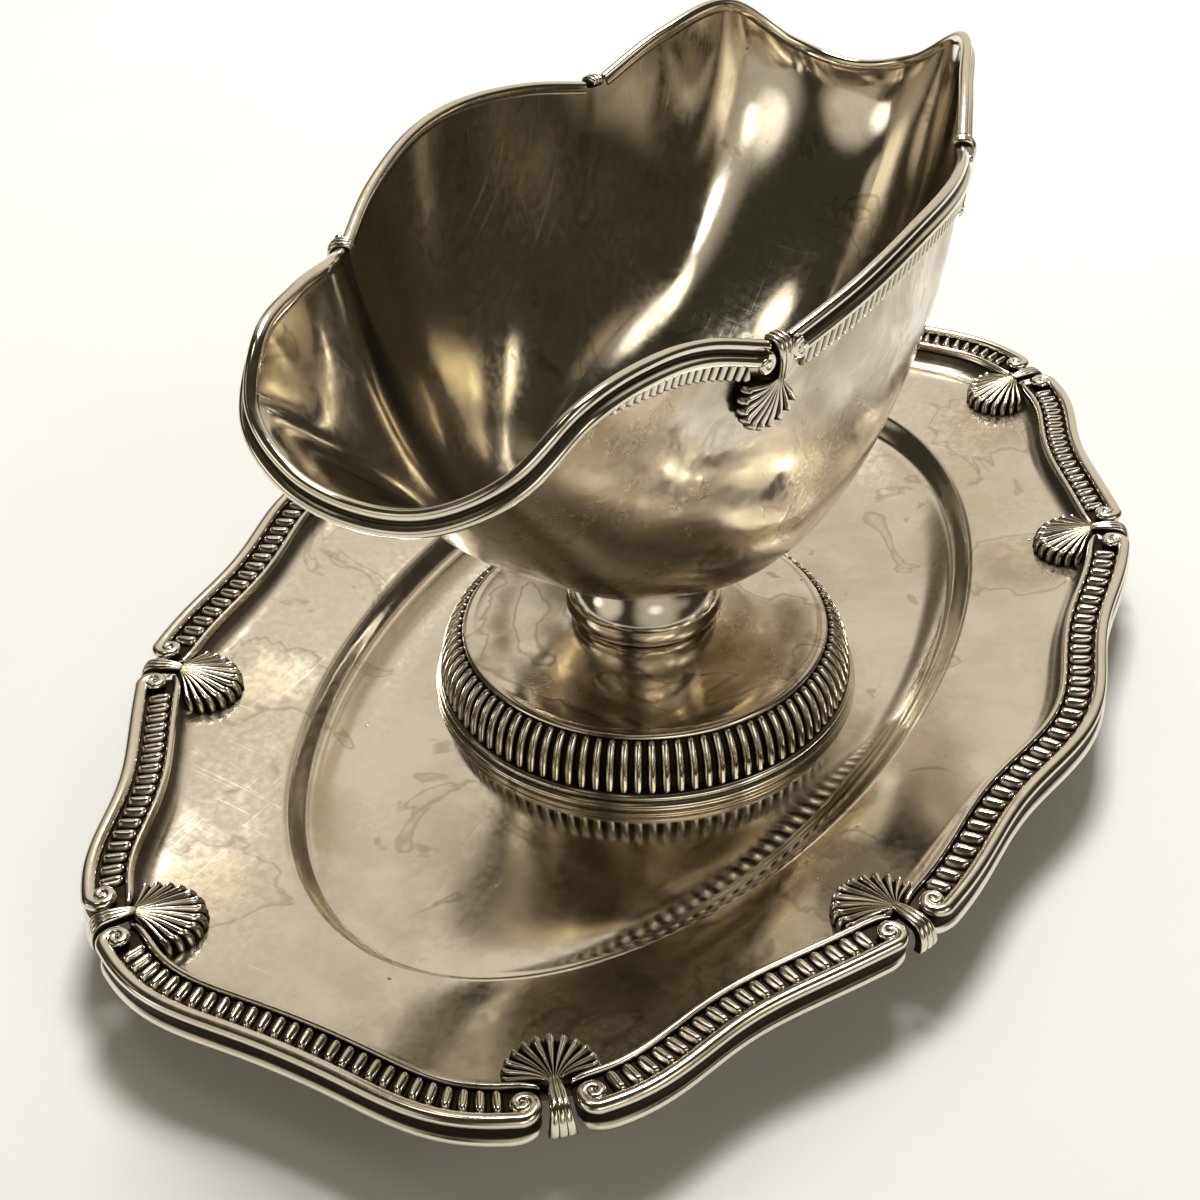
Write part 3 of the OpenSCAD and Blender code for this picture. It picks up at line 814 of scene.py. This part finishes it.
MOULDING = np.array(  # out, up, recess: two fillets with a groove between, then the seat on the wall
    [
        (-1.25, -1.3, 0.4), (-1.3, -0.4, 0.1), (-1.22, 0.15, 0.0), (-1.0, 0.6, 0.0), (-0.6, 0.86, 0.0),
        (-0.1, 0.94, 0.0), (0.4, 0.82, 0.0), (0.75, 0.5, 0.0), (0.9, 0.1, 0.05), (0.86, -0.3, 0.3),
        (0.68, -0.62, 0.8), (0.52, -0.9, 1.0), (0.55, -1.15, 1.0), (0.85, -1.35, 0.7), (1.3, -1.5, 0.2),
        (1.65, -1.75, 0.0), (1.85, -2.15, 0.0), (1.82, -2.6, 0.0), (1.55, -2.95, 0.1), (1.15, -3.15, 0.5),
        (0.7, -3.25, 1.0), (-0.1, -3.3, 1.0),
    ]
)


def sweep_frame(line):
    along = unit(np.gradient(line, axis=0))
    flat = unit(along * np.array([1, 1, 0]))
    out = np.stack([flat[:, 1], -flat[:, 0], np.zeros(len(flat))], axis=-1)
    return along, out, unit(np.cross(out, along))


def moulding(node, line):
    _, out, up = sweep_frame(line)
    section = MOULDING[None]
    points = line[:, None] + out[:, None] * section[..., :1] + up[:, None] * section[..., 1:2]
    skin = Skin()
    skin.grid(points + ON_BOAT, MOULDING[:, 2][None], wrap_cols=True, cap_rows=True)
    place_piece(skin, node, "rim")


def wall_strip(rim, depths):
    """Points and outward normals of the wall's outer face at these depths under the rim, along the wall."""
    fine = np.linspace(0, 0.35, 160)
    curve = wall_curve(rim, fine)
    step = np.linalg.norm(np.diff(curve, axis=1), axis=2)
    run = np.concatenate([np.zeros((len(rim), 1)), np.cumsum(step, axis=1)], axis=1)
    points = np.empty((len(rim), len(depths), 3))
    for i in range(len(rim)):
        for k in range(3):
            points[i, :, k] = np.interp(depths, run[i], curve[i, :, k])
    down = np.gradient(points, axis=1)
    along = np.gradient(points, axis=0)
    normal = unit(np.cross(down, along))
    centre = np.array([RIM_MIDDLE, 0, 70.0])
    sign = np.sign(((points - centre) * normal).sum(axis=-1, keepdims=True))
    return points, normal * sign


STRIP_TOP, STRIP_LOW = 2.9, 6.9
SLANT = 0.75
STRIP_PITCH = 1.8


def gadroon_strip(node, line, fade_start=0.0):
    """A strip of leaning flutes under the rim; it may taper away over the first part of its length."""
    length = np.linalg.norm(np.diff(line, axis=0), axis=1).sum()
    count = round(length / STRIP_PITCH)
    rim = resample(line, count * 9 + 1)
    run = np.linspace(0, count, len(rim))
    v = np.linspace(-1, 1, 15)
    depths = mix(STRIP_TOP, STRIP_LOW, (v + 1) / 2)
    points, normal = wall_strip(rim, depths)
    cell = run[:, None] + SLANT * (v[None, :] + 1) / 2
    across = 2 * (cell - np.floor(cell)) - 1
    ridge = capsule(across / 0.7, np.broadcast_to(v, across.shape), 0.3)
    size = np.ones(len(rim))
    if fade_start > 0:
        size = smooth(np.linspace(0, 1, len(rim)) / fade_start)
    hem = smooth((1 - np.abs(v)) / 0.12)
    lift = (0.1 + 0.95 * ridge) * size[:, None] * mix(0.25, 1.0, hem)[None, :]
    front = points + normal * lift[..., None]
    back = (points - normal * 0.5)[:, ::-1]
    depth = between(ridge) * mix(0.25, 1.0, size)[:, None]
    skin = Skin()
    section = np.concatenate([front, back], axis=1) + ON_BOAT
    skin.grid(section, np.concatenate([depth, np.ones_like(depth)], axis=1), wrap_cols=True, cap_rows=True)
    place_piece(skin, node, "chased")


def part_of(line, a, b):
    n = len(line) - 1
    return line[round(n * a) : round(n * b) + 1]


moulding("lip_rim", part_of(LIP_LINE, 0.012, 0.988))
moulding("left_rim", part_of(SIDE_LEFT, 0.03, 0.97))
moulding("right_rim", part_of(SIDE_RIGHT, 0.03, 0.97))
moulding("back_rim", part_of(BACK_LINE, 0.02, 0.98))

LIP_STRIP = part_of(LIP_LEFT, 0.45, 0.93)
SIDE_STRIP = part_of(SIDE_LEFT, 0.06, 0.94)
gadroon_strip("lip_gadroon_left", LIP_STRIP, fade_start=0.45)
gadroon_strip("lip_gadroon_right", LIP_STRIP * FLIP, fade_start=0.45)
gadroon_strip("left_gadroon", SIDE_STRIP)
gadroon_strip("right_gadroon", SIDE_STRIP * FLIP)
gadroon_strip("back_gadroon", part_of(BACK_LINE, 0.06, 0.94))

# ---- Boat shells ---------------------------------------------------------


def boat_shell(node, side, other, turn, mirror):
    """A shell that hangs on the wall under the notch where two rim lines meet."""
    line = np.vstack([side[-8:], other[1:8]])
    middle = 7  # the notch's place in line
    points, normal = wall_strip(line, np.linspace(0.0, 9.0, 10))
    origin = points[middle, 2]
    out = unit(normal[middle, 3])
    down = points[middle, 9] - points[middle, 0]
    up = unit(-(down - out * (down @ out)))
    right = np.cross(up, out)
    flip = FLIP if mirror else np.ones(3)

    def place(local):
        return (origin + ON_BOAT + local @ np.array([right, up, out])) * flip

    skin = Skin()
    fan(
        skin, place, BOAT_RIBS, radius=10.0, apex=2.9, turn=turn, rise=0.9, drop=-0.35, skirt=0.7, bow=0.45
    )
    track = [
        (-3.6, 0.7), (-1.8, 1.2), (0.2, 1.5), (1.8, 1.7), (3.0, 1.3), (3.5, 0.2), (3.35, -1.2), (2.6, -2.0),
    ]
    tongue(skin, place, track, [0.6, 1.0, 1.3, 1.5, 1.5, 1.5, 1.3], thick=0.8)
    curl, done = spiral(1.75, 1.3, 1.05, 44)
    for sign in (-1, 1):
        flat = np.column_stack(
            [sign * (3.7 - curl[:, 0]), 0.9 + curl[:, 1], mix(0.9, 1.5, done)]
        )
        path = place(flat)
        sideways = np.broadcast_to(place(np.array([0, 0, 1.0])) - place(np.zeros(3)), path.shape)
        skin.tube(path, sideways, mix(0.85, 0.5, done), 1.0, 12)
    place_piece(skin, node, "chased")


FRONT_TURN, BACK_TURN = 30.0, -30.0
boat_shell("boat_shell_front_left", LIP_LEFT, SIDE_LEFT, FRONT_TURN, False)
boat_shell("boat_shell_front_right", LIP_LEFT, SIDE_LEFT, FRONT_TURN, True)
boat_shell("boat_shell_back_left", SIDE_LEFT, BACK_LEFT, BACK_TURN, False)
boat_shell("boat_shell_back_right", SIDE_LEFT, BACK_LEFT, BACK_TURN, True)

# ---- Neck and foot -------------------------------------------------------

KNOP_R, DOME_TOP = 16.2, 16.6
GADROON_LOW, GADROON_HIGH = 3.6, 13.4
FOOT_R, FOOT_TOP = 43.2, 37.8
COLLAR_Z = BASE_Z - 1.6


def catmull(points, steps=10):
    points = np.array(points, dtype=float)
    return smooth_curve(points, 2 * points[0] - points[1], 2 * points[-1] - points[-2], steps)


TURNED_SIDES = 240


def turned(skin, profile, stain):
    """A turned solid from a profile of radius, height and recess, closed from its last point to its first."""
    angle = np.linspace(0, 2 * math.pi, TURNED_SIDES, endpoint=False)
    r, z, deep = profile[:, 0], profile[:, 1], profile[:, 2]
    points = np.stack(
        [
            np.cos(angle)[:, None] * r[None],
            np.sin(angle)[:, None] * r[None],
            np.broadcast_to(z, (TURNED_SIDES, len(z))),
        ],
        axis=-1,
    )
    # Stains lie in two rings on the dome, one near the neck and one further out.
    marked = (0.5 * bump(r, 29.5, 3.0) + 0.6 * bump(r, 19.0, 5.0))[None] if stain else 0.0
    skin.grid(points + ON_BOAT, deep[None], wrap_rows=True, wrap_cols=True, stain=marked)


def turned_piece(node, profile, material, steps=8, stain=False):
    skin = Skin()
    turned(skin, catmull(profile, steps), stain)
    place_piece(skin, node, material)


turned_piece(
    "neck_collar",
    [(3, COLLAR_Z, 1), (KNOP_R - 3.2, COLLAR_Z, 1), (KNOP_R - 2.4, COLLAR_Z + 0.15, 0.5),
     (KNOP_R - 2.0, COLLAR_Z + 0.7, 0), (KNOP_R - 2.2, COLLAR_Z + 1.25, 0.1), (KNOP_R - 2.8, BASE_Z, 0.8),
     (3, BASE_Z, 1)],
    "foot",
)
turned_piece(
    "neck_knop",
    [(3, DOME_TOP, 1), (KNOP_R - 3.5, DOME_TOP, 1), (KNOP_R - 2.6, DOME_TOP + 0.3, 0.5),
     (KNOP_R - 1.2, DOME_TOP + 1.2, 0), (KNOP_R - 0.4, DOME_TOP + 2.4, 0), (KNOP_R, 20.8, 0),
     (KNOP_R - 0.25, 22.8, 0), (KNOP_R - 1.1, 25.0, 0), (KNOP_R - 2.4, 27.4, 0), (KNOP_R - 3.4, 29.8, 0),
     (KNOP_R - 3.7, 31.8, 0), (KNOP_R - 3.5, COLLAR_Z, 0.5), (3, COLLAR_Z, 1)],
    "foot",
)
turned_piece(
    "foot_dome",
    [(3, DOME_TOP - 1.6, 1), (12, DOME_TOP - 1.6, 1), (FOOT_TOP - 4, GADROON_HIGH - 1.2, 1),
     (FOOT_TOP - 1.2, GADROON_HIGH - 1.1, 1), (FOOT_TOP - 0.55, GADROON_HIGH - 0.5, 1),
     (FOOT_TOP - 0.6, GADROON_HIGH - 0.1, 0.3), (FOOT_TOP - 1.0, GADROON_HIGH + 0.25, 0),
     (FOOT_TOP - 1.7, GADROON_HIGH + 0.42, 0), (FOOT_TOP - 2.6, GADROON_HIGH + 0.4, 0.1),
     (33.5, GADROON_HIGH + 0.6, 0), (28, GADROON_HIGH + 1.1, 0), (22.5, GADROON_HIGH + 1.75, 0),
     (18.2, GADROON_HIGH + 2.4, 0), (15.2, GADROON_HIGH + 2.95, 0), (13.4, GADROON_HIGH + 3.1, 0.2),
     (12.2, DOME_TOP, 0.8), (3, DOME_TOP, 1)],
    "foot",
    6,
    stain=True,
)
turned_piece(
    "foot_ring",
    [(FOOT_R - 4, 0, 0.8), (FOOT_R - 1.2, 0, 0.8), (FOOT_R - 0.2, 0.08, 0.4), (FOOT_R + 0.25, 0.5, 0),
     (FOOT_R + 0.3, 1.0, 0), (FOOT_R + 0.1, 1.5, 0.05), (FOOT_R - 0.45, 1.85, 0.7), (FOOT_R - 0.75, 2.05, 1),
     (FOOT_R - 0.5, 2.3, 0.5), (FOOT_R - 0.25, 2.7, 0), (FOOT_R - 0.35, 3.1, 0), (FOOT_R - 0.8, 3.45, 0.3),
     (FOOT_R - 1.3, GADROON_LOW, 1), (FOOT_R - 4, GADROON_LOW, 1)],
    "foot",
    5,
)


FOOT_FLUTES = 96
FLUTE_STEPS = 12


def foot_gadroon():
    base = catmull([(42.0, GADROON_LOW), (41.95, 5.0), (41.6, 7.5), (40.25, 10.8), (37.9, GADROON_HIGH)], 9)
    along = unit(np.gradient(base, axis=0))
    normal = np.stack([along[:, 1], -along[:, 0]], axis=-1)
    around = FOOT_FLUTES * FLUTE_STEPS
    angle = np.linspace(0, 2 * math.pi, around, endpoint=False)
    cell = np.arange(around) / FLUTE_STEPS
    across = 2 * (cell - np.floor(cell)) - 1
    v = np.linspace(-1, 1, len(base))
    ridge = capsule(across[:, None] / 0.66, v[None, :] * 0.985, 0.14)
    lift = -1.0 + 1.15 * ridge**0.85
    r = base[:, 0][None] + normal[:, 0][None] * lift
    z = base[:, 1][None] + normal[:, 1][None] * lift
    inner = np.array([(FOOT_TOP - 3, GADROON_HIGH - 1.5), (FOOT_R - 4, GADROON_LOW)])
    r = np.concatenate([r, np.broadcast_to(inner[:, 0], (around, 2))], axis=1)
    z = np.concatenate([z, np.broadcast_to(inner[:, 1], (around, 2))], axis=1)
    z = np.clip(z, GADROON_LOW, GADROON_HIGH)
    deep = np.concatenate([between(ridge), np.ones((around, 2))], axis=1)
    points = np.stack([np.cos(angle)[:, None] * r, np.sin(angle)[:, None] * r, z], axis=-1)
    skin = Skin()
    skin.grid(points + ON_BOAT, deep, wrap_rows=True, wrap_cols=True)
    place_piece(skin, "foot_gadroon", "chased")


foot_gadroon()

# ---- Floor, light and camera ---------------------------------------------


FLOOR_HALF = 3.0


def floor():
    side = (-FLOOR_HALF, FLOOR_HALF)
    mesh = bpy.data.meshes.new("floor")
    corners = [(x, y, 0.0) for x in side for y in side]
    mesh.from_pydata(corners, [], [(0, 2, 3, 1)])
    obj = bpy.data.objects.new("floor", mesh)
    bpy.context.scene.collection.objects.link(obj)
    material = bpy.data.materials.new("pale_floor")
    material.use_nodes = True
    n = Nodes(material.node_tree)
    where = n.add("ShaderNodeTexCoord").outputs["Object"]
    tone = n.step(n.noise(where, 9.0, 3.0), 0.3, 0.7)
    colour = n.blend(tone, (0.86, 0.86, 0.855, 1), (0.88, 0.88, 0.875, 1))
    shader = n.add("ShaderNodeBsdfPrincipled", {"Base Color": colour, "Roughness": 0.75})
    n.add("ShaderNodeOutputMaterial", {"Surface": shader.outputs[0]})
    mesh.materials.append(material)


def softbox(name, place, aim, size, watts, colour):
    light = bpy.data.lights.new(name, "AREA")
    light.shape = "RECTANGLE"
    light.size, light.size_y = size
    light.energy = watts
    light.color = colour
    obj = bpy.data.objects.new(name, light)
    obj.location = place
    obj.rotation_euler = (Vector(aim) - Vector(place)).to_track_quat("-Z", "Y").to_euler()
    bpy.context.scene.collection.objects.link(obj)


floor()
AIM = (0, 0, 0.05)
softbox("key_panel", (-0.62, -0.22, 1.45), AIM, (0.5, 0.5), 22, (1, 0.99, 0.97))


def heading(azimuth, elevation):
    a, e = math.radians(azimuth), math.radians(elevation)
    return math.cos(e) * math.cos(a), math.cos(e) * math.sin(a), math.sin(e)


# Patches of the room: azimuth, elevation, degrees within which it is full and beyond which it is gone, tone.
PATCHES = [
    (200, 26, 26, 52, (0.74, 0.685, 0.58, 1)),
    (228, 22, 4, 14, (0.16, 0.13, 0.09, 1)),
    (85, 34, 8, 26, (0.52, 0.47, 0.38, 1)),
    (-28, 20, 10, 26, (0.68, 0.62, 0.51, 1)),
    (45, 18, 14, 38, (0.52, 0.48, 0.39, 1)),
    (44, 33, 5, 17, (1.5, 1.44, 1.3, 1)),
    (-71, 36, 3, 9, (0.50, 0.45, 0.36, 1)),
    (-46, 19, 4, 12, (1.6, 1.52, 1.36, 1)),
    (84, 38, 2, 6, (3.8, 3.9, 3.9, 1)),
    (-91, 73, 2, 7, (3.2, 3.0, 2.5, 1)),
    (62, 30, 3, 8, (2.4, 2.3, 2.0, 1)),
    (98, 46, 3, 8, (2.0, 1.9, 1.6, 1)),
]


ROOM_TONE = (0.055, 0.049, 0.034, 1)
BACKDROP = (0.86, 0.85, 0.82, 1)

world = bpy.data.worlds.new("room")
world.use_nodes = True
room = Nodes(world.node_tree)
facing = room.add("ShaderNodeTexCoord").outputs["Generated"]
tone = ROOM_TONE
for azimuth, elevation, inner, outer, patch in PATCHES:
    toward = {0: facing, 1: heading(azimuth, elevation)}
    near = room.add("ShaderNodeVectorMath", toward, operation="DOT_PRODUCT")
    low, high = (math.cos(math.radians(a)) for a in (outer, inner))
    tone = room.blend(room.step(near.outputs["Value"], low, high), tone, patch)
# The backdrop itself is pale; only the silver sees the patches.
seen = room.add("ShaderNodeLightPath").outputs["Is Camera Ray"]
tone = room.blend(seen, tone, BACKDROP)
background = room.add("ShaderNodeBackground", {"Color": tone, "Strength": 1.0})
room.add("ShaderNodeOutputWorld", {"Surface": background.outputs[0]})
bpy.context.scene.world = world

bpy.context.scene.view_settings.view_transform = "Standard"
bpy.context.scene.view_settings.gamma = 0.88

CAMERA_PLACE = (0.26935, 0.13217, 0.23737)
AZIMUTH, ELEVATION, ROLL = (math.radians(a) for a in (27.56, 36.43, -1.35))
LENS, SHIFT_X = 54.26, -0.0167
look = -Vector(
    (math.cos(ELEVATION) * math.cos(AZIMUTH), math.cos(ELEVATION) * math.sin(AZIMUTH), math.sin(ELEVATION))
)
right = look.cross(Vector((0, 0, 1))).normalized()
upward = right.cross(look)
right, upward = (
    math.cos(ROLL) * right + math.sin(ROLL) * upward,
    math.cos(ROLL) * upward - math.sin(ROLL) * right,
)
camera = bpy.data.objects.new("camera", bpy.data.cameras.new("camera"))
camera.data.sensor_width = 36.0
camera.data.lens = LENS
camera.data.shift_x = SHIFT_X
camera.data.clip_start = 0.01
facing_camera = Matrix((right, upward, -look)).transposed().to_4x4()
camera.matrix_world = Matrix.Translation(CAMERA_PLACE) @ facing_camera
bpy.context.scene.collection.objects.link(camera)
bpy.context.scene.camera = camera
